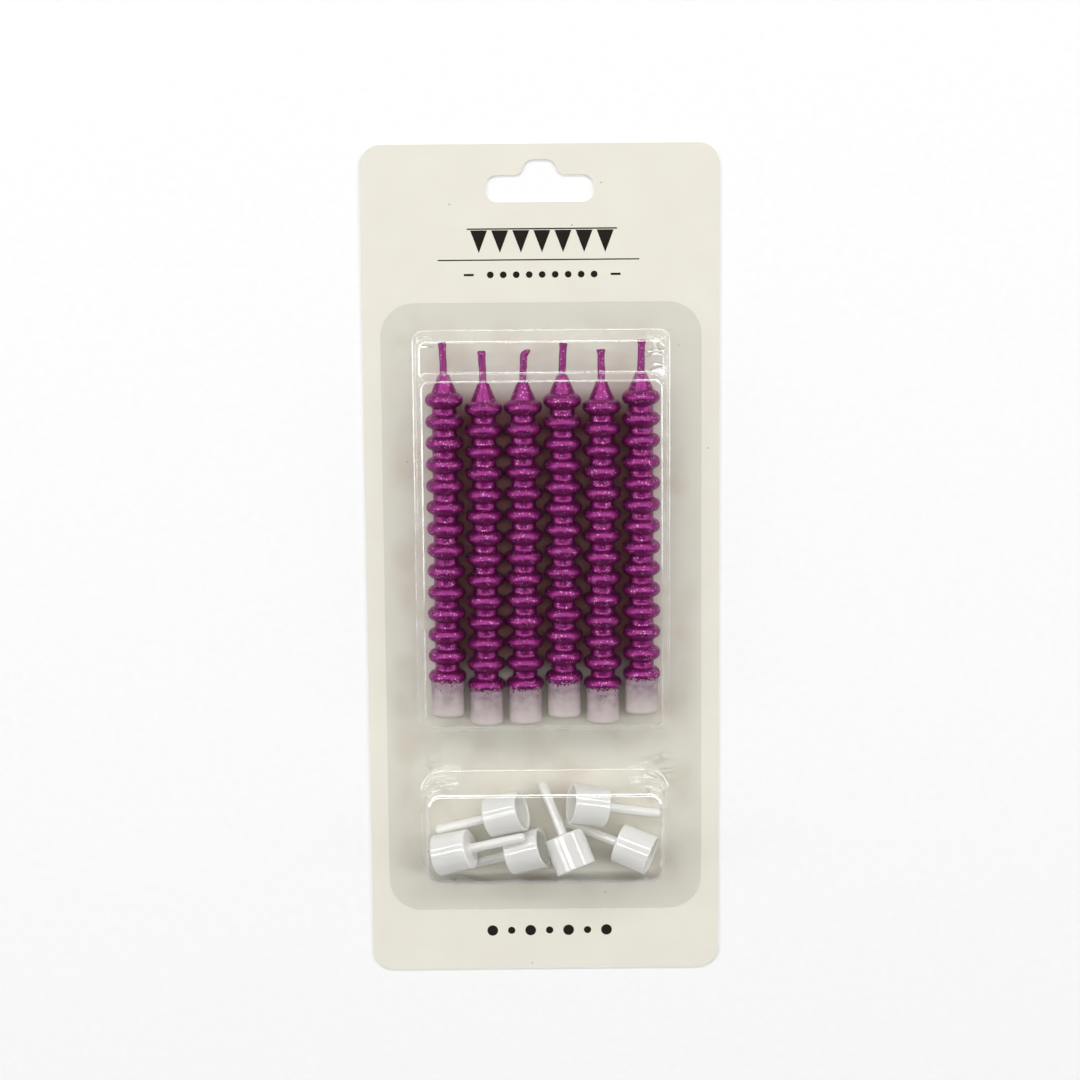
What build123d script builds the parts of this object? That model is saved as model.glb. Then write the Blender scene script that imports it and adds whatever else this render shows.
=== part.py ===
from build123d import *
from math import cos, pi, radians, sin, sqrt, tan
import os

# A carded party pack: six ring-ribbed candles and six candle holders, loose in the
# two trays of a clear blister that is sealed to a hang card.
# Millimetres. The pack lies on its back. The card is in XY with its back face at Z = 0,
# +Y points to the hang slot and +Z points out of the card's face.

# Hang card
card_width = 80.0
card_height = 190.0
card_thickness = 0.5
card_corner = 4.7

# Hang slot: two arms with a hook notch over their middle
slot_width = 24.2
slot_height = 6.0
slot_drop = 6.9  # card's top edge to the top of the arms
slot_end_round = 2.6
notch_height = 3.4
notch_foot_width = 9.2
notch_top_width = 5.8
notch_foot_round = 1.2
notch_top_round = 2.4

# Wax candle: a bare foot, a stack of rings on a slim core, and a cone up to the wick
ring_count = 14
ring_pitch = 4.85
ring_d = 8.3
ring_rim_round = 1.4
ring_flank_angle = 25.0  # each flank to the candle's radius
neck_d = 5.25
neck_cove = 0.7
foot_flank_angle = 50.0  # the lowest ring's flank towards the foot
foot_d = 7.5
foot_edge_round = 0.9
foot_cove = 0.35
cove_share = 0.9  # most of the flank that the foot's cove may take
lowest_ring_height = 9.1  # candle's end to the centre of its lowest ring
cone_height = 5.7  # centre of the top ring to the end of the wax
cone_half_angle = 22.5
cone_end_d = 2.1
cone_cove = 0.8

# Metallic coat: a thin lacquer skin over the wax, down to just under the lowest ring
coat_thickness = 0.12
coat_gap = 0.02
coat_edge_height = 7.0

# Wick: runs the length of the wax and stands free above it
wick_d = 1.75
wick_gap = 0.02
wick_recess = 0.3
wick_free_length = 7.2
wick_tip_round = 0.25
hooked_candle = 3
hook_radius = 1.0
hook_turn = 95.0

# Row of candles, counted from the left; each rest place is the free play under the candle
candle_rest = (2.1, 0.1, 0.35, 1.75, 0.3, 2.4)
candle_play = 2.6
candle_stop_drop = 95.5  # flange's top edge to a candle's end that stands on the tray's foot wall
ring_space = 0.22  # between the rings of neighbours
row_shift = 0.2
lying_gap = 0.05  # under a candle that lies on the card

# Clear blister
film = 0.3
flange_width = 72.0
flange_height = 140.6
flange_corner = 7.6
flange_drop = 35.2  # card's top edge to the flange's top edge
tray_root_round = 0.7

# Candle tray, sizes of its inside
tray_side_room = 1.3
tray_side_draft = 9.5
tray_foot_draft = 16.0
tray_head_draft = 12.7
tray_step_draft = 23.0
tray_ring_room = 0.25
tray_wick_room = 0.8
tray_step_height = 4.0  # over the top ring of a candle pushed right up
tray_corner = 2.2
tray_edge_round = 0.9

# Holder tray, sizes of its inside at the card
holder_tray_width = 55.8
holder_tray_height = 23.5
holder_tray_depth = 14.4
holder_tray_draft = 5.0
holder_tray_corner = 4.4
holder_tray_edge_round = 1.4
holder_tray_space = 10.5  # between the two trays at the card

# Candle holder: a cup for the candle's foot on a spike for the cake
cup_d = 9.4
cup_height = 8.3
cup_draft = 0.7
cup_floor = 2.0
cup_rim_round = 0.2
cup_floor_round = 0.45
socket_clearance = 0.1
socket_lead_in = 0.25
spike_d = 2.2
spike_length = 13.2
spike_root_round = 0.5
spike_tip_d = 1.6
spike_tip_length = 0.5

# Lay of the six holders, from the middle of their tray: middle of the cup, then the way its spike points
holder_lay = (
    (-20.9, -5.4, 6.2, 16.0, 15.0),
    (-9.0, 3.4, 6.2, 197.0, -15.5),
    (-4.3, -5.4, 6.1, 197.0, -14.0),
    (9.9, 5.3, 6.0, -10.5, -12.0),
    (5.6, -5.0, 8.7, 112.5, -17.5),
    (20.5, -5.1, 6.2, 161.5, -15.5),
)

# Places that follow from the sizes above
card_top = card_height / 2
coat_reach = coat_gap + coat_thickness
ring_outer_d = ring_d + 2 * coat_reach
candle_spacing = ring_outer_d + ring_space
candle_count = len(candle_rest)
candle_stop_y = card_top - flange_drop - candle_stop_drop
candle_z = card_thickness + lying_gap + ring_outer_d / 2
top_ring_height = lowest_ring_height + (ring_count - 1) * ring_pitch
wax_length = top_ring_height + cone_height
candle_length = wax_length + wick_free_length
flank = radians(ring_flank_angle)
foot_flank = radians(foot_flank_angle)
cone_slope = radians(cone_half_angle)


def write(piece, name):
    """Label a finished piece and write its file."""
    piece.label = name
    export_step(piece, f"parts/{name}.step")


def candle_outline(grow, first_point):
    """Corners and corner rounds of a candle's side, moved out by grow, from its foot to its cone."""
    rim_round = ring_rim_round + grow
    rim_centre = ring_d / 2 - ring_rim_round
    apex = rim_centre + rim_round / sin(flank)
    neck = neck_d / 2 + grow
    foot = foot_d / 2 + grow
    half_ring = (apex - neck) * tan(flank)
    low_reach = rim_round * (cos(flank) + cos(foot_flank)) / sin(flank + foot_flank)
    low_rise = (rim_round - low_reach * sin(flank)) / cos(flank)
    low_apex = rim_centre + low_reach
    cove_room = (low_apex - foot) / cos(foot_flank) - sqrt(low_reach**2 + low_rise**2 - rim_round**2)
    cove_limit = cove_share * cove_room / tan((pi / 2 - foot_flank) / 2)
    points = [first_point, (foot, lowest_ring_height + low_rise - (low_apex - foot) * tan(foot_flank))]
    rounds = [max(0, min(foot_cove - grow, cove_limit))]
    for ring in range(ring_count):
        height = lowest_ring_height + ring * ring_pitch
        if ring > 0:
            points.append((neck, height - half_ring))
            rounds.append(neck_cove - grow)
            points.append((apex, height))
        else:
            points.append((low_apex, height + low_rise))
        rounds.append(rim_round)
        if ring < ring_count - 1:
            points.append((neck, height + half_ring))
            rounds.append(neck_cove - grow)
    cone_end = cone_end_d / 2 + grow / cos(cone_slope)
    cone_root = cone_end + cone_height * tan(cone_slope)
    cone_foot_rise = (apex - cone_root) / (1 / tan(flank) - tan(cone_slope))
    points.append((cone_root - cone_foot_rise * tan(cone_slope), top_ring_height + cone_foot_rise))
    rounds.append(cone_cove - grow)
    points.append((cone_end, wax_length))
    return points, rounds


os.makedirs("parts", exist_ok=True)


# Hang card, with the slot cut through it
arm_top = card_top - slot_drop
arm_bottom = arm_top - slot_height
slot_corners = (
    (-slot_width / 2, arm_bottom),
    (slot_width / 2, arm_bottom),
    (slot_width / 2, arm_top),
    (notch_foot_width / 2, arm_top),
    (notch_top_width / 2, arm_top + notch_height),
    (-notch_top_width / 2, arm_top + notch_height),
    (-notch_foot_width / 2, arm_top),
    (-slot_width / 2, arm_top),
)
notch_rounds = (notch_foot_round, notch_top_round, notch_top_round, notch_foot_round)
slot_rounds = (slot_end_round,) * 3 + notch_rounds + (slot_end_round,)
with BuildPart() as hang_card:
    with BuildSketch():
        RectangleRounded(card_width, card_height, card_corner)
        with BuildLine():
            FilletPolyline(*slot_corners, radius=slot_rounds, close=True)
        make_face(mode=Mode.SUBTRACT)
    extrude(amount=card_thickness)
write(hang_card.part, "hang_card")


def climbs(edge):
    """True for an edge that goes up a corner of a tray."""
    return abs(edge.tangent_at(0.5).Z) > sin(radians(45))


# Candle tray: a long side view and a drafted cross section share one solid
def candle_tray(skin):
    """Solid inside of the candle tray, or its outside where skin is the film's thickness."""
    floor_z = card_thickness
    deep_z = candle_z + ring_outer_d / 2 + tray_ring_room + skin
    shallow_z = candle_z + wick_d / 2 + tray_wick_room + skin
    foot_z = candle_z + foot_d / 2 - foot_edge_round
    head_z = candle_z + wick_d / 2
    head_stop_y = candle_stop_y + candle_play + candle_length
    step_y = candle_stop_y + candle_play + top_ring_height + tray_step_height
    foot_slope = tan(radians(tray_foot_draft))
    head_slope = tan(radians(tray_head_draft))
    step_slope = tan(radians(tray_step_draft))
    side_slope = tan(radians(tray_side_draft))
    foot_y = candle_stop_y - skin
    head_y = head_stop_y + skin
    step_top_y = step_y + skin
    side_view = (
        (foot_y + (floor_z - foot_z) * foot_slope, floor_z),
        (foot_y + (deep_z - foot_z) * foot_slope, deep_z),
        (step_top_y, deep_z),
        (step_top_y + (deep_z - shallow_z) * step_slope, shallow_z),
        (head_y - (shallow_z - head_z) * head_slope, shallow_z),
        (head_y - (floor_z - head_z) * head_slope, floor_z),
    )
    row_half = (candle_count - 1) * candle_spacing / 2 + ring_outer_d / 2
    half_width = row_half + tray_side_room + skin
    floor_half = half_width + (candle_z - floor_z) * side_slope
    deep_half = half_width - (deep_z - candle_z) * side_slope
    cross_section = (
        (-floor_half, floor_z),
        (floor_half, floor_z),
        (deep_half, deep_z),
        (-deep_half, deep_z),
    )
    with BuildPart() as form:
        with BuildSketch(Plane.YZ):
            with BuildLine():
                Polyline(*side_view, close=True)
            make_face()
        extrude(amount=floor_half, both=True)
        with BuildSketch(Plane.XZ):
            with BuildLine():
                Polyline(*cross_section, close=True)
            make_face()
        extrude(amount=card_height, both=True, mode=Mode.INTERSECT)
        fillet(form.edges().filter_by(climbs), tray_corner + skin - film)
        upper_edges = form.edges().filter_by(lambda edge: edge.center().Z > floor_z + film)
        level_edges = upper_edges.filter_by(lambda edge: not climbs(edge))
        fillet(level_edges, tray_edge_round + skin - film)
    return form.part


def holder_tray(skin):
    """Solid inside of the holder tray, or its outside where skin is the film's thickness."""
    width = holder_tray_width + 2 * skin
    height = holder_tray_height + 2 * skin
    with BuildPart() as form:
        with BuildSketch(Plane((0, holder_tray_y, card_thickness))):
            RectangleRounded(width, height, holder_tray_corner + skin)
        extrude(amount=holder_tray_depth + skin, taper=holder_tray_draft)
        fillet(form.faces().sort_by(Axis.Z)[-1].edges(), holder_tray_edge_round + skin)
    return form.part


candle_tray_inside = candle_tray(0)
candle_tray_outside = candle_tray(film)
candle_tray_end = candle_tray_inside.bounding_box().min.Y
holder_tray_y = candle_tray_end - holder_tray_space - holder_tray_height / 2
holder_tray_inside = holder_tray(0)
holder_tray_outside = holder_tray(film)

# Clear blister: the flange with both trays drawn up out of it
flange_y = card_top - flange_drop - flange_height / 2
with BuildPart() as blister:
    with BuildSketch(Plane((0, flange_y, card_thickness))):
        RectangleRounded(flange_width, flange_height, flange_corner)
    extrude(amount=film)
    add(candle_tray_outside)
    add(holder_tray_outside)
    flange_top = card_thickness + film
    flange_face = blister.faces().filter_by_position(Axis.Z, flange_top - film / 4, flange_top + film / 4)[0]
    fillet(flange_face.inner_wires().edges(), tray_root_round)
    add(candle_tray_inside, mode=Mode.SUBTRACT)
    add(holder_tray_inside, mode=Mode.SUBTRACT)
write(blister.part, "blister")


# Candles, each with its wax, its coat and its wick
for number, rest in enumerate(candle_rest, start=1):
    candle_x = row_shift + (number - (candle_count + 1) / 2) * candle_spacing
    candle_end = (candle_x, candle_stop_y + rest, candle_z)
    candle_plane = Plane(origin=candle_end, x_dir=(1, 0, 0), z_dir=(0, 0, 1))
    candle_axis = Axis(candle_end, (0, 1, 0))
    core = wick_d / 2 + wick_gap
    wax_top = (core, wax_length)

    wax_points, wax_rounds = candle_outline(0, (foot_d / 2, 0))
    with BuildPart() as wax:
        with BuildSketch(candle_plane):
            with BuildLine():
                FilletPolyline((core, 0), *wax_points, wax_top, radius=[foot_edge_round, *wax_rounds, 0])
                Line(wax_top, (core, 0))
            make_face()
        revolve(axis=candle_axis)
    write(wax.part, f"candle_{number}_wax")

    inner_points, inner_rounds = candle_outline(coat_gap, (foot_d / 2 + coat_gap, coat_edge_height))
    outer_points, outer_rounds = candle_outline(coat_reach, (foot_d / 2 + coat_reach, coat_edge_height))
    with BuildPart() as coat:
        with BuildSketch(candle_plane):
            with BuildLine():
                FilletPolyline(*inner_points, radius=inner_rounds)
                FilletPolyline(*outer_points, radius=outer_rounds)
                Line(inner_points[0], outer_points[0])
                Line(inner_points[-1], outer_points[-1])
            make_face()
        revolve(axis=candle_axis)
    write(coat.part, f"candle_{number}_coat")

    with BuildPart() as wick:
        with BuildLine(candle_plane) as wick_path:
            if number == hooked_candle:
                stem = Line((0, wick_recess), (0, candle_length - hook_radius - wick_d / 2))
                JernArc(stem @ 1, stem % 1, hook_radius, -hook_turn)
            else:
                Line((0, wick_recess), (0, candle_length))
        with BuildSketch(Plane(origin=wick_path.line @ 0, z_dir=wick_path.line % 0)):
            Circle(wick_d / 2)
        sweep()
        tip_face = wick.faces().filter_by(GeomType.PLANE).sort_by(Axis.Y)[-1]
        fillet(tip_face.edges(), wick_tip_round)
    write(wick.part, f"candle_{number}_wick")


# Holders, each turned about its own axis from one profile
socket_r = foot_d / 2 + socket_clearance
cup_end_r = cup_d / 2 - cup_height * tan(radians(cup_draft))
socket_depth = cup_height - cup_floor
spike_end = cup_height + spike_length
holder_corners = (
    (0, socket_depth),
    (socket_r, socket_depth),
    (socket_r, socket_lead_in),
    (socket_r + socket_lead_in, 0),
    (cup_d / 2, 0),
    (cup_end_r, cup_height),
    (spike_d / 2, cup_height),
    (spike_d / 2, spike_end - spike_tip_length),
    (spike_tip_d / 2, spike_end),
    (0, spike_end),
)
holder_rounds = (0, 0, 0, cup_rim_round, cup_floor_round, spike_root_round, spike_tip_length, 0)
for number, (middle_x, middle_y, middle_z, azimuth, rise) in enumerate(holder_lay, start=1):
    level = cos(radians(rise))
    spike_way = Vector(level * cos(radians(azimuth)), level * sin(radians(azimuth)), sin(radians(rise)))
    across = Vector(0, 0, 1).cross(spike_way).normalized()
    mouth = Vector(middle_x, holder_tray_y + middle_y, middle_z) - spike_way * (cup_height / 2)
    holder_plane = Plane(origin=mouth, x_dir=across, z_dir=across.cross(spike_way))
    with BuildPart() as holder:
        with BuildSketch(holder_plane):
            with BuildLine():
                FilletPolyline(*holder_corners, radius=holder_rounds)
                Line(holder_corners[-1], holder_corners[0])
            make_face()
        revolve(axis=Axis(mouth, spike_way))
    write(holder.part, f"holder_{number}")
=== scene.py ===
import math
import random

import bmesh
import bpy
from mathutils import Matrix, Vector


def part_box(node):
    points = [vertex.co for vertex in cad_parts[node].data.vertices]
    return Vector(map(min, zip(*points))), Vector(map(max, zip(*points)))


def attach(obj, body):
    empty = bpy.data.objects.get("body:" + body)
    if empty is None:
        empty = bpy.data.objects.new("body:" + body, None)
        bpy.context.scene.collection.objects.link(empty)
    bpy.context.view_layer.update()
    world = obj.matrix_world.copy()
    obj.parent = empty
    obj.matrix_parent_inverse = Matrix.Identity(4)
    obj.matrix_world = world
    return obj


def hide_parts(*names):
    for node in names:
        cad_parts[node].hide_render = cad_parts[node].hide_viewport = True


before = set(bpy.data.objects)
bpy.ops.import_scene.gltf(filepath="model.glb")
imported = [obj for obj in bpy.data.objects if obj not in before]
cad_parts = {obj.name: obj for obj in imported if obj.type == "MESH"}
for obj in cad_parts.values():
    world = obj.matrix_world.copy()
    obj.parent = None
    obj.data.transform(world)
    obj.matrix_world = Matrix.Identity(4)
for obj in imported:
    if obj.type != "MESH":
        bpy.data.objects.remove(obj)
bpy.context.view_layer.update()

MM = 0.001
CANDLES = range(1, 7)
HOLDERS = range(1, 7)
MIX_FACTOR, MIX_A, MIX_B, MIX_OUT = 0, 6, 7, 2  # sockets of a colour Mix node
PRINTED_DEPTH = 0.2 * MM  # how far into the card a mask on its printed face reaches


def paint(hex_colour):
    """An sRGB hex colour as the linear RGBA that a shader socket takes."""
    channels = [int(hex_colour[i:i + 2], 16) / 255 for i in (1, 3, 5)]
    return [c / 12.92 if c <= 0.04045 else ((c + 0.055) / 1.055) ** 2.4 for c in channels] + [1.0]


def add(tree, kind, inputs=None, **settings):
    """Add one node. Settings are its own fields; inputs are values, or sockets to link from."""
    node = tree.nodes.new(kind)
    for field, value in settings.items():
        setattr(node, field, value)
    for name, value in (inputs or {}).items():
        if isinstance(value, bpy.types.NodeSocket):
            tree.links.new(value, node.inputs[name])
        else:
            node.inputs[name].default_value = value
    return node


def new_material(name):
    """A node material with nothing in it yet, and its tree."""
    made = bpy.data.materials.new(name)
    made.use_nodes = True
    made.node_tree.nodes.clear()
    return made, made.node_tree


def patch_on_card(tree, place, middle, half, fade, most=1.0):
    """A mask on the card's printed face: most inside a rectangle, fading to nothing at its edge.
    Fade holds the shares of the half sides at which it is nothing and full."""
    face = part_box("hang_card")[1].z
    share = add(tree, "ShaderNodeVectorMath", {0: place, 1: (*middle, face)}, operation="SUBTRACT")
    share = add(tree, "ShaderNodeVectorMath", {
        0: share.outputs[0], 1: (*half, PRINTED_DEPTH),
    }, operation="DIVIDE")
    share = add(tree, "ShaderNodeVectorMath", {0: share.outputs[0]}, operation="ABSOLUTE")
    share = add(tree, "ShaderNodeSeparateXYZ", {0: share.outputs[0]})
    edge = add(tree, "ShaderNodeMath", {
        0: share.outputs[0], 1: share.outputs[1],
    }, operation="MAXIMUM")
    edge = add(tree, "ShaderNodeMath", {
        0: edge.outputs[0], 1: share.outputs[2],
    }, operation="MAXIMUM")
    return add(tree, "ShaderNodeMapRange", {
        "Value": edge.outputs[0], "From Min": fade[0], "From Max": fade[1], "To Max": most,
    }).outputs[0]


def coated_board():
    """Cream coated board. The eye sees a flat warm cream with faint clouds and a few dark specks,
    and a duller, blotchy field where the film's flange is sealed on."""
    made, tree = new_material("coated_cream_board")
    place = add(tree, "ShaderNodeTexCoord").outputs["Object"]
    clouds = add(tree, "ShaderNodeTexNoise", {
        "Vector": place, "Scale": 1 / (11 * MM), "Detail": 4.0,
    })
    cream = add(tree, "ShaderNodeMix", {
        MIX_FACTOR: clouds.outputs["Fac"], MIX_A: paint("#E9E6DA"), MIX_B: paint("#E1DED0"),
    }, data_type="RGBA")

    # The sealed field lies inside the film's outline and fades at its edge.
    low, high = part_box("blister")
    sealed = patch_on_card(tree, place, ((low + high) / 2).xy, ((high - low) / 2).xy, (0.99, 0.90))
    blots = add(tree, "ShaderNodeTexNoise", {
        "Vector": place, "Scale": 1 / (13 * MM), "Detail": 5.0,
    })
    blots = add(tree, "ShaderNodeMapRange", {
        "Value": blots.outputs["Fac"], "From Min": 0.45, "From Max": 0.68,
    })
    blots = add(tree, "ShaderNodeMath", {0: blots.outputs[0], 1: sealed}, operation="MULTIPLY")
    board = add(tree, "ShaderNodeMix", {
        MIX_FACTOR: blots.outputs[0], MIX_A: cream.outputs[MIX_OUT], MIX_B: paint("#DBD3C5"),
    }, data_type="RGBA")

    # Painted shade and painted reflection: the board under the row of candles, out to the outer
    # two, is darkened towards red purple for the shaded gaps between them and the lacquer's colour
    # they throw.
    low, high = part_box("candle_2_coat")[0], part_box("candle_5_coat")[1]
    wider = Vector((4.5 * MM, -5 * MM))
    painted_gap_shade = patch_on_card(
        tree, place, ((low + high) / 2).xy, ((high - low) / 2).xy + wider, (1.1, 0.88), 0.85)
    # The painted shade's colour: a dark red purple, mixed in by the mask above.
    board = add(tree, "ShaderNodeMix", {
        MIX_FACTOR: painted_gap_shade, MIX_A: board.outputs[MIX_OUT], MIX_B: paint("#8A2A3A"),
    }, data_type="RGBA")

    # Recycled fibre leaves sparse specks about 0.3 mm across.
    cells = add(tree, "ShaderNodeTexVoronoi", {"Vector": place, "Scale": 1 / (3.4 * MM)})
    near = add(tree, "ShaderNodeMath", {
        0: cells.outputs["Distance"], 1: 0.045,
    }, operation="LESS_THAN")
    pick = add(tree, "ShaderNodeSeparateColor", {0: cells.outputs["Color"]})
    rare = add(tree, "ShaderNodeMath", {0: pick.outputs[0], 1: 0.1}, operation="LESS_THAN")
    speck = add(tree, "ShaderNodeMath", {
        0: near.outputs[0], 1: rare.outputs[0],
    }, operation="MULTIPLY")
    stray = add(tree, "ShaderNodeMath", {0: pick.outputs[1], 1: 0.7}, operation="GREATER_THAN")
    grit = add(tree, "ShaderNodeMix", {
        MIX_FACTOR: stray.outputs[0], MIX_A: paint("#857A68"), MIX_B: paint("#6A2A62"),
    }, data_type="RGBA")
    colour = add(tree, "ShaderNodeMix", {
        MIX_FACTOR: speck.outputs[0], MIX_A: board.outputs[MIX_OUT], MIX_B: grit.outputs[MIX_OUT],
    }, data_type="RGBA")

    # Real fibres are finer; they are drawn this coarse so that they show.
    fibres = add(tree, "ShaderNodeTexNoise", {
        "Vector": place, "Scale": 1 / (0.35 * MM), "Detail": 3.0,
    })
    relief = add(tree, "ShaderNodeBump", {
        "Height": fibres.outputs["Fac"], "Strength": 0.12, "Distance": 0.05 * MM,
    })
    shader = add(tree, "ShaderNodeBsdfPrincipled", {
        "Base Color": colour.outputs[MIX_OUT], "Roughness": 0.62, "Specular IOR Level": 0.35,
        "Normal": relief.outputs[0],
    })
    add(tree, "ShaderNodeOutputMaterial", {"Surface": shader.outputs[0]})
    return made


def clear_film(crease_spots):
    """Thermoformed clear PET. The eye sees through it, with crisp light lines along its folds, soft
    waves in the flats and creases in the corners where the sheet was drawn deepest."""
    made, tree = new_material("thermoformed_clear_pet")
    coords = add(tree, "ShaderNodeTexCoord")
    place = coords.outputs["Object"]
    waves = add(tree, "ShaderNodeTexNoise", {
        "Vector": place, "Scale": 1 / (9 * MM), "Detail": 2.0,
    })
    relief = add(tree, "ShaderNodeBump", {
        "Height": waves.outputs["Fac"], "Strength": 0.1, "Distance": 0.4 * MM,
    })
    # Creases fade out round each spot.
    reach = None
    for spot, radius in crease_spots:
        gap = add(tree, "ShaderNodeVectorMath", {0: place, 1: spot}, operation="DISTANCE")
        near = add(tree, "ShaderNodeMapRange", {
            "Value": gap.outputs["Value"], "From Min": radius, "From Max": 0.3 * radius,
        }, interpolation_type="SMOOTHSTEP").outputs[0]
        if reach is not None:
            near = add(tree, "ShaderNodeMath", {
                0: reach, 1: near,
            }, operation="MAXIMUM").outputs[0]
        reach = near
    # Corners are crumpled into cells, drawn out along the pack's width.
    drawn = add(tree, "ShaderNodeMapping", {"Vector": place, "Scale": (0.42, 1.0, 0.8)})
    facets = add(tree, "ShaderNodeTexVoronoi", {
        "Vector": drawn.outputs[0], "Scale": 1 / (2.4 * MM),
    }, feature="DISTANCE_TO_EDGE")
    crumple = add(tree, "ShaderNodeMath", {
        0: facets.outputs["Distance"], 1: reach,
    }, operation="MULTIPLY")
    relief = add(tree, "ShaderNodeBump", {
        "Height": crumple.outputs[0], "Strength": 1.0, "Distance": 0.6 * MM,
        "Normal": relief.outputs[0],
    })
    facing = add(tree, "ShaderNodeLayerWeight", {"Blend": 0.5, "Normal": relief.outputs[0]})
    grazing = add(tree, "ShaderNodeMath", {0: facing.outputs["Facing"], 1: 4.0}, operation="POWER")
    shine = add(tree, "ShaderNodeMath", {
        0: grazing.outputs[0], 1: 0.85, 2: 0.05,
    }, operation="MULTIPLY_ADD")
    # Stretched folds, which lean between a wall and a flat, turn a little white, unevenly along
    # their length, and so do the creases.
    slope = add(tree, "ShaderNodeSeparateXYZ", {0: coords.outputs["Normal"]})
    slope = add(tree, "ShaderNodeMath", {0: slope.outputs[2]}, operation="ABSOLUTE")
    start = add(tree, "ShaderNodeMapRange", {
        "Value": slope.outputs[0], "From Min": 0.72, "From Max": 0.82,
    })
    end = add(tree, "ShaderNodeMapRange", {
        "Value": slope.outputs[0], "From Min": 0.97, "From Max": 0.90,
    })
    fold = add(tree, "ShaderNodeMath", {
        0: start.outputs[0], 1: end.outputs[0],
    }, operation="MULTIPLY")
    patchy = add(tree, "ShaderNodeTexNoise", {
        "Vector": place, "Scale": 1 / (5 * MM), "Detail": 3.0,
    })
    patchy = add(tree, "ShaderNodeMapRange", {
        "Value": patchy.outputs["Fac"], "From Min": 0.35, "From Max": 0.62, "To Min": 0.15,
    })
    fold = add(tree, "ShaderNodeMath", {
        0: fold.outputs[0], 1: patchy.outputs[0],
    }, operation="MULTIPLY")
    crease = add(tree, "ShaderNodeMapRange", {
        "Value": facets.outputs["Distance"], "From Min": 0.1, "From Max": 0.03, "To Max": 2.0,
    })
    crease = add(tree, "ShaderNodeMath", {0: crease.outputs[0], 1: reach}, operation="MULTIPLY")
    crease = add(tree, "ShaderNodeMath", {
        0: crease.outputs[0], 1: patchy.outputs[0],
    }, operation="MULTIPLY")
    fold = add(tree, "ShaderNodeMath", {
        0: fold.outputs[0], 1: crease.outputs[0],
    }, operation="MAXIMUM")
    shine = add(tree, "ShaderNodeMath", {
        0: fold.outputs[0], 1: 0.42, 2: shine.outputs[0],
    }, operation="MULTIPLY_ADD")
    haze = add(tree, "ShaderNodeMapRange", {
        "Value": fold.outputs[0], "To Min": 0.03, "To Max": 0.34,
    })
    # Lamp light goes through without loss, so that what lies under the film stays bright.
    path = add(tree, "ShaderNodeLightPath")
    seen = add(tree, "ShaderNodeMath", {
        0: path.outputs["Is Shadow Ray"], 1: path.outputs["Is Diffuse Ray"],
    }, operation="MAXIMUM")
    seen = add(tree, "ShaderNodeMath", {0: 1.0, 1: seen.outputs[0]}, operation="SUBTRACT")
    shine = add(tree, "ShaderNodeMath", {
        0: shine.outputs[0], 1: seen.outputs[0],
    }, operation="MULTIPLY")
    clear = add(tree, "ShaderNodeBsdfTransparent", {"Color": paint("#FDFDFD")})
    gloss = add(tree, "ShaderNodeBsdfPrincipled", {
        "Base Color": paint("#FDFDFC"), "Metallic": 1.0, "Roughness": haze.outputs[0],
        "Normal": relief.outputs[0],
    })
    shader = add(tree, "ShaderNodeMixShader", {
        0: shine.outputs[0], 1: clear.outputs[0], 2: gloss.outputs[0],
    })
    add(tree, "ShaderNodeOutputMaterial", {"Surface": shader.outputs[0]})
    return made


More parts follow.
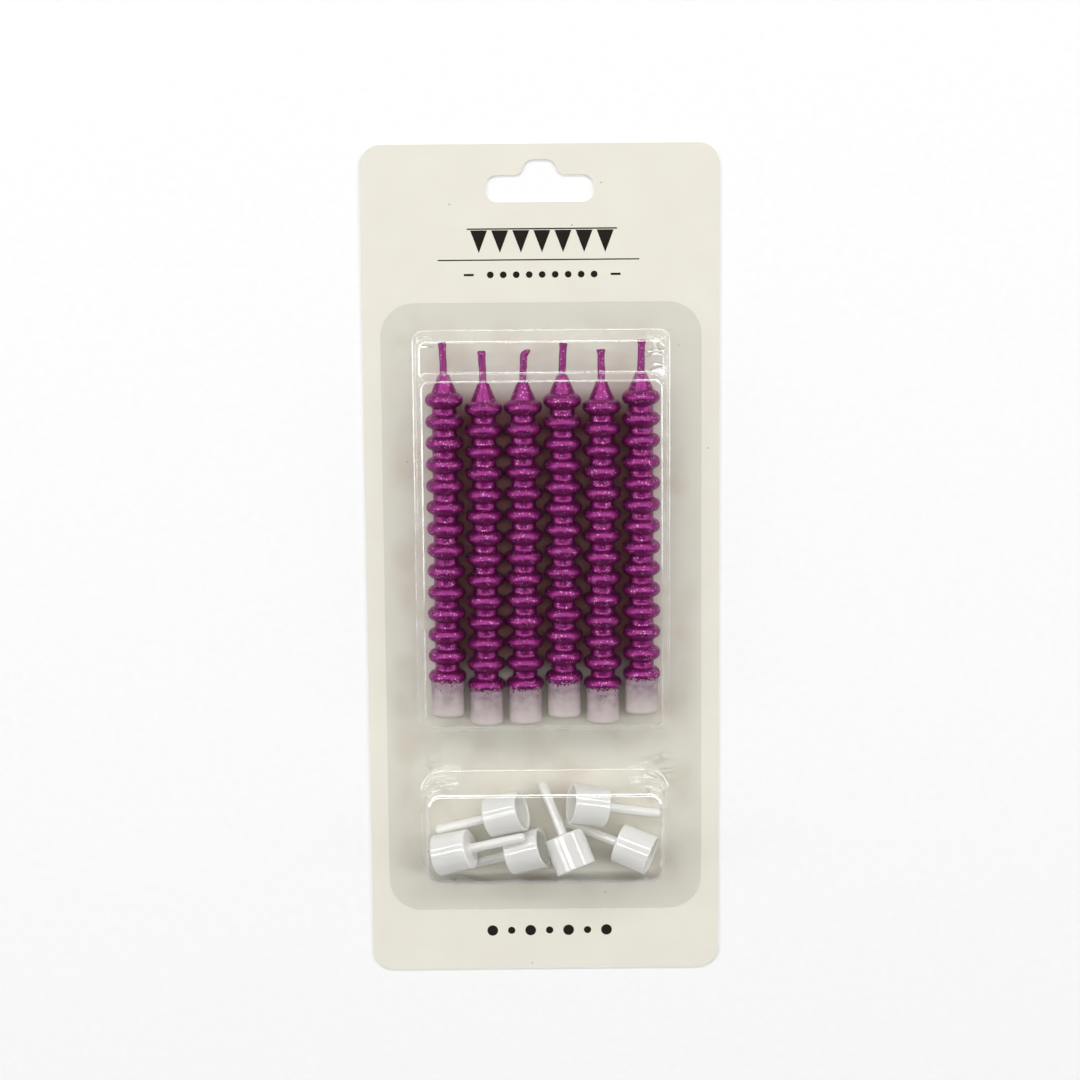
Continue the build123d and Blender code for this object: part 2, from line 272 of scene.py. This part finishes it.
def metallic_lacquer(name, bare_share, metal_share, smoothest, roughest):
    """Dipped metallic purple lacquer. The eye sees deep magenta purple with fine sparkle and drag
    streaks along the candle, thinning to ragged specks at its lower edge."""
    made, tree = new_material(name)
    coords = add(tree, "ShaderNodeTexCoord")
    place, share = coords.outputs["Object"], coords.outputs["Generated"]
    # Real flakes and drag lines are finer; they are drawn this coarse so that they show.
    flakes = add(tree, "ShaderNodeTexVoronoi", {"Vector": place, "Scale": 1 / (0.26 * MM)})
    glint = add(tree, "ShaderNodeSeparateColor", {0: flakes.outputs["Color"]})
    stretched = add(tree, "ShaderNodeMapping", {"Vector": place, "Scale": (1.0, 0.1, 1.0)})
    streaks = add(tree, "ShaderNodeTexNoise", {
        "Vector": stretched.outputs[0], "Scale": 1 / (0.3 * MM), "Detail": 3.0,
    })
    depth = add(tree, "ShaderNodeMapRange", {
        "Value": streaks.outputs["Fac"], "From Min": 0.3, "From Max": 0.7,
    })
    purple = add(tree, "ShaderNodeMix", {
        MIX_FACTOR: depth.outputs[0], MIX_A: paint("#82126A"), MIX_B: paint("#A02284"),
    }, data_type="RGBA")
    sparkle = add(tree, "ShaderNodeMath", {
        0: glint.outputs[0], 1: 0.95,
    }, operation="GREATER_THAN")
    purple = add(tree, "ShaderNodeMix", {
        MIX_FACTOR: sparkle.outputs[0], MIX_A: purple.outputs[MIX_OUT], MIX_B: paint("#DC96CE"),
    }, data_type="RGBA")

    # Bare specks: noise has to stay under a limit that falls to nothing a little above the edge.
    height = add(tree, "ShaderNodeSeparateXYZ", {0: share})
    limit = add(tree, "ShaderNodeMapRange", {
        "Value": height.outputs[1], "From Min": 0.0, "From Max": bare_share,
        "To Min": 0.72, "To Max": 0.28,
    })
    ragged = add(tree, "ShaderNodeTexNoise", {
        "Vector": place, "Scale": 1 / (0.55 * MM), "Detail": 3.0,
    })
    bare = add(tree, "ShaderNodeMath", {
        0: ragged.outputs["Fac"], 1: limit.outputs[0],
    }, operation="LESS_THAN")
    colour = add(tree, "ShaderNodeMix", {
        MIX_FACTOR: bare.outputs[0], MIX_A: purple.outputs[MIX_OUT], MIX_B: paint("#A48E98"),
    }, data_type="RGBA")
    metal = add(tree, "ShaderNodeMapRange", {
        "Value": bare.outputs[0], "To Min": metal_share, "To Max": 0.0,
    })
    rough = add(tree, "ShaderNodeMapRange", {
        "Value": streaks.outputs["Fac"], "To Min": smoothest, "To Max": roughest,
    })
    drag = add(tree, "ShaderNodeBump", {
        "Height": streaks.outputs["Fac"], "Strength": 0.12, "Distance": 0.03 * MM,
    })
    # Each flake lies a little askew: its cell's random colour tilts the normal.
    tilt = add(tree, "ShaderNodeVectorMath", {
        0: flakes.outputs["Color"], 1: (0.5, 0.5, 0.5),
    }, operation="SUBTRACT")
    tilt = add(tree, "ShaderNodeVectorMath", {
        0: tilt.outputs[0], 1: (0.05, 0.05, 0.05), 2: drag.outputs[0],
    }, operation="MULTIPLY_ADD")
    tilt = add(tree, "ShaderNodeVectorMath", {0: tilt.outputs[0]}, operation="NORMALIZE")
    shader = add(tree, "ShaderNodeBsdfPrincipled", {
        "Base Color": colour.outputs[MIX_OUT], "Metallic": metal.outputs[0],
        "Roughness": rough.outputs[0], "Normal": tilt.outputs[0],
        "Coat Weight": 0.6, "Coat Roughness": 0.28, "Coat Normal": drag.outputs[0],
    })
    add(tree, "ShaderNodeOutputMaterial", {"Surface": shader.outputs[0]})
    return made


def candle_wax():
    """Moulded paraffin wax. The eye sees soft milky white, lavender towards the lacquer, with
    purple specks just below it."""
    made, tree = new_material("moulded_paraffin_wax")
    coords = add(tree, "ShaderNodeTexCoord")
    place, share = coords.outputs["Object"], coords.outputs["Generated"]
    height = add(tree, "ShaderNodeSeparateXYZ", {0: share})
    tint = add(tree, "ShaderNodeMapRange", {
        "Value": height.outputs[1], "From Min": 0.005, "From Max": 0.105, "To Max": 1.5,
    })
    clouds = add(tree, "ShaderNodeTexNoise", {
        "Vector": place, "Scale": 1 / (2.4 * MM), "Detail": 3.0,
    })
    tint = add(tree, "ShaderNodeMath", {
        0: tint.outputs[0], 1: clouds.outputs["Fac"],
    }, operation="MULTIPLY")
    white = add(tree, "ShaderNodeMix", {
        MIX_FACTOR: tint.outputs[0], MIX_A: paint("#D8CDCA"), MIX_B: paint("#7A5C6E"),
    }, data_type="RGBA")
    limit = add(tree, "ShaderNodeMapRange", {
        "Value": height.outputs[1], "From Min": 0.035, "From Max": 0.095,
        "To Min": 0.80, "To Max": 0.62,
    })
    dots = add(tree, "ShaderNodeTexNoise", {
        "Vector": place, "Scale": 1 / (0.42 * MM), "Detail": 2.0,
    })
    spat = add(tree, "ShaderNodeMath", {
        0: dots.outputs["Fac"], 1: limit.outputs[0],
    }, operation="GREATER_THAN")
    colour = add(tree, "ShaderNodeMix", {
        MIX_FACTOR: spat.outputs[0], MIX_A: white.outputs[MIX_OUT], MIX_B: paint("#9A2488"),
    }, data_type="RGBA")
    relief = add(tree, "ShaderNodeBump", {
        "Height": clouds.outputs["Fac"], "Strength": 0.25, "Distance": 0.12 * MM,
    })
    shader = add(tree, "ShaderNodeBsdfPrincipled", {
        "Base Color": colour.outputs[MIX_OUT], "Roughness": 0.42, "Subsurface Weight": 0.5,
        "Subsurface Radius": (1.0, 0.8, 0.8), "Subsurface Scale": 1.6 * MM,
        "Normal": relief.outputs[0],
    })
    add(tree, "ShaderNodeOutputMaterial", {"Surface": shader.outputs[0]})
    return made


def moulded_styrene():
    """Injection-moulded white polystyrene. The eye sees bright glossy white, faintly see-through at
    thin edges, with sharp light lines."""
    made, tree = new_material("injection_moulded_white_styrene")
    place = add(tree, "ShaderNodeTexCoord").outputs["Object"]
    flow = add(tree, "ShaderNodeTexNoise", {"Vector": place, "Scale": 1 / (4 * MM), "Detail": 2.0})
    colour = add(tree, "ShaderNodeMix", {
        MIX_FACTOR: flow.outputs["Fac"], MIX_A: paint("#F7F6F1"), MIX_B: paint("#F1F0EA"),
    }, data_type="RGBA")
    relief = add(tree, "ShaderNodeBump", {
        "Height": flow.outputs["Fac"], "Strength": 0.03, "Distance": 0.1 * MM,
    })
    shader = add(tree, "ShaderNodeBsdfPrincipled", {
        "Base Color": colour.outputs[MIX_OUT], "Roughness": 0.05, "IOR": 1.59,
        "Specular IOR Level": 0.8, "Subsurface Weight": 0.5, "Subsurface Radius": (1.0, 1.0, 0.9),
        "Subsurface Scale": 3.0 * MM, "Normal": relief.outputs[0],
    })
    add(tree, "ShaderNodeOutputMaterial", {"Surface": shader.outputs[0]})
    return made


def printing_ink():
    """Offset printing ink. The eye sees warm black, a little uneven where the board drinks it."""
    made, tree = new_material("offset_black_ink")
    place = add(tree, "ShaderNodeTexCoord").outputs["Object"]
    soak = add(tree, "ShaderNodeTexNoise", {
        "Vector": place, "Scale": 1 / (0.5 * MM), "Detail": 3.0,
    })
    colour = add(tree, "ShaderNodeMix", {
        MIX_FACTOR: soak.outputs["Fac"], MIX_A: paint("#16110C"), MIX_B: paint("#2A231B"),
    }, data_type="RGBA")
    shader = add(tree, "ShaderNodeBsdfPrincipled", {
        "Base Color": colour.outputs[MIX_OUT], "Roughness": 0.7, "Specular IOR Level": 0.12,
    })
    add(tree, "ShaderNodeOutputMaterial", {"Surface": shader.outputs[0]})
    return made


def studio_paper():
    """White studio paper. The eye sees the plain pale sweep that the pack lies on."""
    made, tree = new_material("white_studio_paper")
    place = add(tree, "ShaderNodeTexCoord").outputs["Object"]
    # The paper's tooth is far finer; it is drawn this coarse so that it shows.
    tooth = add(tree, "ShaderNodeTexNoise", {"Vector": place, "Scale": 1 / (2 * MM)})
    colour = add(tree, "ShaderNodeMix", {
        MIX_FACTOR: tooth.outputs["Fac"], MIX_A: paint("#F8F8F8"), MIX_B: paint("#F4F4F4"),
    }, data_type="RGBA")
    shader = add(tree, "ShaderNodeBsdfPrincipled", {
        "Base Color": colour.outputs[MIX_OUT], "Roughness": 0.9, "Specular IOR Level": 0.1,
    })
    add(tree, "ShaderNodeOutputMaterial", {"Surface": shader.outputs[0]})
    return made


def mesh_piece(name, points, faces, material, smooth=False):
    """A new mesh object at the origin, from points in metres."""
    mesh = bpy.data.meshes.new(name)
    mesh.from_pydata(points, [], faces)
    mesh.materials.append(material)
    mesh.polygons.foreach_set("use_smooth", [smooth] * len(mesh.polygons))
    mesh.validate()
    piece = bpy.data.objects.new(name, mesh)
    bpy.context.scene.collection.objects.link(piece)
    return piece


board = coated_board()
CREASE_SPOTS = (  # where the drawn sheet creased, and how far round
    ((-26.0 * MM, -48.0 * MM, 8.0 * MM), 9.0 * MM),
    ((26.0 * MM, -48.0 * MM, 8.0 * MM), 9.5 * MM),
    ((-27.0 * MM, 53.0 * MM, 6.0 * MM), 4.5 * MM),
    ((27.0 * MM, 52.0 * MM, 6.0 * MM), 6.5 * MM),
    ((27.0 * MM, 45.0 * MM, 7.0 * MM), 3.5 * MM),
)
film = clear_film(CREASE_SPOTS)
coat = metallic_lacquer(
    "dipped_metallic_lacquer", bare_share=0.034, metal_share=0.9, smoothest=0.33, roughest=0.47)
wick_lacquer = metallic_lacquer(
    "lacquered_cotton_wick", bare_share=0.001, metal_share=0.45, smoothest=0.4, roughest=0.6)
wax = candle_wax()
styrene = moulded_styrene()
ink = printing_ink()

node_materials = {"hang_card": board, "blister": film}
node_materials.update({f"candle_{n}_wax": wax for n in CANDLES})
node_materials.update({f"candle_{n}_coat": coat for n in CANDLES})
node_materials.update({f"candle_{n}_wick": wick_lacquer for n in CANDLES})
node_materials.update({f"holder_{n}": styrene for n in HOLDERS})
for name, material in node_materials.items():
    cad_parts[name].data.materials.clear()
    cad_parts[name].data.materials.append(material)

# Film: the same sheet as the CAD node, with its flats shaded flat and its folds smooth, and lifted
# a hair so that no face of it lies in the card's own face.
SEAL_GAP, WELD = 0.03 * MM, 0.002 * MM
SHARP_EDGE = math.radians(35)
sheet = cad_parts["blister"].data.copy()
welded = bmesh.new()
welded.from_mesh(sheet)
bmesh.ops.remove_doubles(welded, verts=welded.verts, dist=WELD)
for fold in welded.edges:
    fold.smooth = fold.calc_face_angle(0.0) < SHARP_EDGE
for face in welded.faces:
    face.smooth = True
welded.to_mesh(sheet)
welded.free()
if "custom_normal" in sheet.attributes:
    sheet.attributes.remove(sheet.attributes["custom_normal"])
sheet.transform(Matrix.Translation((0, 0, SEAL_GAP)))
film_sheet = bpy.data.objects.new("film_sheet", sheet)
bpy.context.scene.collection.objects.link(film_sheet)
flats = film_sheet.modifiers.new("flats", "WEIGHTED_NORMAL")
flats.mode = "FACE_AREA"
flats.weight = 100
flats.keep_sharp = True
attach(film_sheet, "pack")
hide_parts("blister")

# Wicks: a twisted three-strand cord, stiff with lacquer, its end cut ragged and pinched wide.
WICK_SIDES, WICK_STEPS = 30, 60
WICK_RADIUS = 0.87 * MM
WICK_ROOT = 1.2 * MM  # hidden in the cone
WICK_SEED = 40
LEAN_CURVE = 1.4
WICK_SAG, SAG_WAVES = 0.06 * MM, 3
# Depths as shares of the radius, twists and waves in radians along the whole wick
STRANDS, STRAND_DEPTH, STRAND_TWIST = 3, 0.022, 14
WICK_FULL, FUZZ, WAVER, WAVER_WAVES = 0.94, 0.03, 0.03, 7
TIP_SHARE, PINCH, PINCH_WAVE, LUMP, LUMP_TWIST = 0.14, 0.15, 2.2, 0.09, 9  # the pinched end
FRAY = (-0.5 * MM, -0.05 * MM)  # along the wick
HOOKED, HOOK_STEPS, HOOK_RADIUS, HOOK_TURN = 3, 18, 0.75 * MM, math.radians(125)
wick_lean = {1: -0.3, 2: -0.35, 3: 0.3, 4: 0.35, 5: -0.1, 6: 0.2}  # sideways at the tip, in mm
for n in CANDLES:
    rng = random.Random(WICK_SEED + n)
    wax_low, wax_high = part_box(f"candle_{n}_wax")
    wick_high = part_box(f"candle_{n}_wick")[1]
    root = (wax_low + wax_high) / 2
    root.y = wax_high.y - WICK_ROOT
    hook_steps = HOOK_STEPS if n == HOOKED else 0
    straight_steps = WICK_STEPS - hook_steps
    free = wick_high.y - root.y - (HOOK_RADIUS + WICK_RADIUS if hook_steps else 0)
    centres = []
    for step in range(straight_steps + 1):
        along = step / straight_steps
        lean = wick_lean[n] * MM * along ** LEAN_CURVE
        sag = WICK_SAG * (math.sin(SAG_WAVES * along + n) - 1)
        centres.append(root + Vector((lean, free * along, sag)))
    for step in range(1, hook_steps + 1):
        turn = HOOK_TURN * step / hook_steps
        swing = Vector((1 - math.cos(turn), math.sin(turn), 0))
        centres.append(centres[straight_steps] + swing * HOOK_RADIUS)
    points, faces = [], []
    for step, centre in enumerate(centres):
        before, after = centres[max(step - 1, 0)], centres[min(step + 1, WICK_STEPS)]
        forward = (after - before).normalized()
        side = forward.cross(Vector((0, 0, 1))).normalized()
        up = side.cross(forward)
        along = step / WICK_STEPS
        tip = max(0, (along - 1 + TIP_SHARE) / TIP_SHARE)
        pinch = PINCH * math.sin(PINCH_WAVE * tip)
        for k in range(WICK_SIDES):
            angle = 2 * math.pi * k / WICK_SIDES
            strand = STRAND_DEPTH * math.cos(STRANDS * angle + STRAND_TWIST * along)
            strand += WAVER * math.sin(WAVER_WAVES * along + n)
            lump = pinch + LUMP * tip * math.sin(2 * angle + LUMP_TWIST * along + n)
            radius = WICK_RADIUS * (WICK_FULL + strand + rng.uniform(-FUZZ, FUZZ))
            wide = radius + WICK_RADIUS * lump
            frayed = forward * rng.uniform(*FRAY) if step == WICK_STEPS else Vector()
            across = side * math.cos(angle) * wide + up * math.sin(angle) * radius
            points.append(centre + across + frayed)
    for step in range(WICK_STEPS):
        for k in range(WICK_SIDES):
            a, b = step * WICK_SIDES + k, step * WICK_SIDES + (k + 1) % WICK_SIDES
            faces.append((a, b, b + WICK_SIDES, a + WICK_SIDES))
    for end, rows in ((0, 0), (WICK_STEPS, WICK_STEPS * WICK_SIDES)):
        points.append(centres[end])
        ring = [rows + k for k in range(WICK_SIDES)]
        for k in range(WICK_SIDES):
            pair = (ring[k], ring[(k + 1) % WICK_SIDES])
            faces.append((*pair, len(points) - 1) if end else (*reversed(pair), len(points) - 1))
    wick = mesh_piece(f"wick_{n}", points, faces, wick_lacquer, smooth=True)
    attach(wick, f"candle_{n}")
    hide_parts(f"candle_{n}_wick")

# Print on the card: a thin rule with a row of pennants over it and dashes and beads under it.
card_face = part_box("hang_card")[1].z
INK_THICKNESS = 0.015 * MM
BEAD_SIDES = 24


def print_piece(name, outlines):
    """One printed motif: flat outlines in millimetres, raised from the card's face by the ink."""
    points, faces = [], []
    for outline in outlines:
        first, count = len(points), len(outline)
        for height in (card_face - INK_THICKNESS, card_face + INK_THICKNESS):
            points += [(x * MM, y * MM, height) for x, y in outline]
        faces.append([first + count + k for k in range(count)])
        faces.append([first + k for k in reversed(range(count))])
        for k in range(count):
            after = (k + 1) % count
            faces.append((first + k, first + after, first + count + after, first + count + k))
    piece = mesh_piece(name, points, faces, ink)
    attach(piece, "pack")


def bar(x, y, width, height):
    """The outline of an upright bar about its middle."""
    corners = ((-1, -1), (1, -1), (1, 1), (-1, 1))
    return [(x + i * width / 2, y + j * height / 2) for i, j in corners]


def bead(x, y, radius):
    """The outline of a round dot."""
    turns = [2 * math.pi * k / BEAD_SIDES for k in range(BEAD_SIDES)]
    return [(x + radius * math.cos(turn), y + radius * math.sin(turn)) for turn in turns]


# Places and sizes of the print, in mm
RULE_X, RULE_Y, RULE_SIZE = -0.4, 69.3, (45.0, 0.28)
MOTIF_X = 0.4
PENNANTS, PENNANT_PITCH, PENNANT_HALF, PENNANT_TOP, PENNANT_TIP = 7, 4.7, 1.9, 75.9, 70.9
STRING_Y, STRING_SIZE = 76.2, (33.5, 0.3)
BEADS, BEAD_PITCH, BEAD_Y, BEAD_RADIUS = 9, 2.9, 66.0, 0.75
DASHES_X, DASH_SIZE = (-16.0, 16.8), (2.2, 0.5)
FOOT_BEADS, FOOT_PITCH, FOOT_X, FOOT_Y, FOOT_RADII = 7, 4.4, 0.9, -85.9, (1.25, 0.85)

print_piece("print_rule", [bar(RULE_X, RULE_Y, *RULE_SIZE)])
pennants = []
for k in range(PENNANTS):
    x = MOTIF_X + (k - PENNANTS // 2) * PENNANT_PITCH
    left, right = x - PENNANT_HALF, x + PENNANT_HALF
    pennants.append([(x, PENNANT_TIP), (right, PENNANT_TOP), (left, PENNANT_TOP)])
pennants.append(bar(MOTIF_X, STRING_Y, *STRING_SIZE))
print_piece("print_pennants", pennants)
print_piece("print_beads", [
    bead(MOTIF_X + (k - BEADS // 2) * BEAD_PITCH, BEAD_Y, BEAD_RADIUS) for k in range(BEADS)])
print_piece("print_dashes", [bar(x, BEAD_Y, *DASH_SIZE) for x in DASHES_X])
print_piece("print_foot", [
    bead(FOOT_X + (k - FOOT_BEADS // 2) * FOOT_PITCH, FOOT_Y, FOOT_RADII[k % 2])
    for k in range(FOOT_BEADS)])

# Stage: white sweep, two ceiling tubes that run across the candles, a soft window on either side,
# pale walls and a dim ceiling, so that the film's flats stay clear.
SWEEP, FLOOR_DROP = 4.0, 0.02 * MM
corners = ((-SWEEP, -SWEEP), (SWEEP, -SWEEP), (SWEEP, SWEEP), (-SWEEP, SWEEP))
floor = mesh_piece(
    "floor", [(x, y, -FLOOR_DROP) for x, y in corners], [(0, 1, 2, 3)], studio_paper())


def lamp(name, place, size, power):
    """A soft rectangular lamp at place that shines towards the middle of the pack."""
    light = bpy.data.lights.new(name, "AREA")
    light.shape = "RECTANGLE"
    light.size, light.size_y = size
    light.energy = power
    made = bpy.data.objects.new(name, light)
    made.location = place
    made.rotation_euler = (Vector() - Vector(place)).to_track_quat("-Z", "Y").to_euler()
    bpy.context.scene.collection.objects.link(made)


lamp("near_tube", place=(0.0, 0.37, 1.6), size=(6.0, 0.26), power=31.0)
lamp("far_tube", place=(0.0, 1.78, 1.6), size=(6.0, 0.34), power=42.0)
lamp("left_window", place=(-1.4, -0.1, 0.9), size=(0.3, 1.2), power=4.0)
lamp("right_window", place=(1.4, -0.1, 0.9), size=(0.3, 1.2), power=3.0)

world = bpy.data.worlds.new("studio")
bpy.context.scene.world = world
world.use_nodes = True
air = world.node_tree
air.nodes.clear()
sky = add(air, "ShaderNodeTexCoord").outputs["Generated"]
sky = add(air, "ShaderNodeSeparateXYZ", {0: sky})
rise = add(air, "ShaderNodeMapRange", {
    "Value": sky.outputs[2], "From Min": 0.55, "From Max": 0.85,
})
glow = add(air, "ShaderNodeMix", {
    MIX_FACTOR: rise.outputs[0], MIX_A: paint("#F0F0F0"), MIX_B: paint("#3A3A3A"),
}, data_type="RGBA")
room = add(air, "ShaderNodeBackground", {"Color": glow.outputs[MIX_OUT], "Strength": 0.42})
add(air, "ShaderNodeOutputWorld", {"Surface": room.outputs[0]})

# Camera: looks down on the pack, leaned 9.5 degrees towards its head.
CAMERA_LEAN, CAMERA_TURN, CAMERA_ROLL = 9.494, 0.321, 0.476  # degrees
CAMERA_OFFSET = (0.631 * MM, -5.714 * MM, -646.75 * MM)
eye = bpy.data.cameras.new("photo_camera")
eye.sensor_width = 36.0
eye.lens = 94.84
eye.clip_start, eye.clip_end = 0.01, 20.0
camera = bpy.data.objects.new("photo_camera", eye)
spin = (Matrix.Rotation(math.radians(CAMERA_ROLL), 4, "Z")
        @ Matrix.Rotation(math.radians(CAMERA_LEAN), 4, "X")
        @ Matrix.Rotation(math.radians(CAMERA_TURN), 4, "Y"))
camera.matrix_world = (Matrix.Translation(CAMERA_OFFSET) @ spin).inverted()
bpy.context.scene.collection.objects.link(camera)
bpy.context.scene.camera = camera
bpy.context.scene.view_settings.view_transform = "Standard"
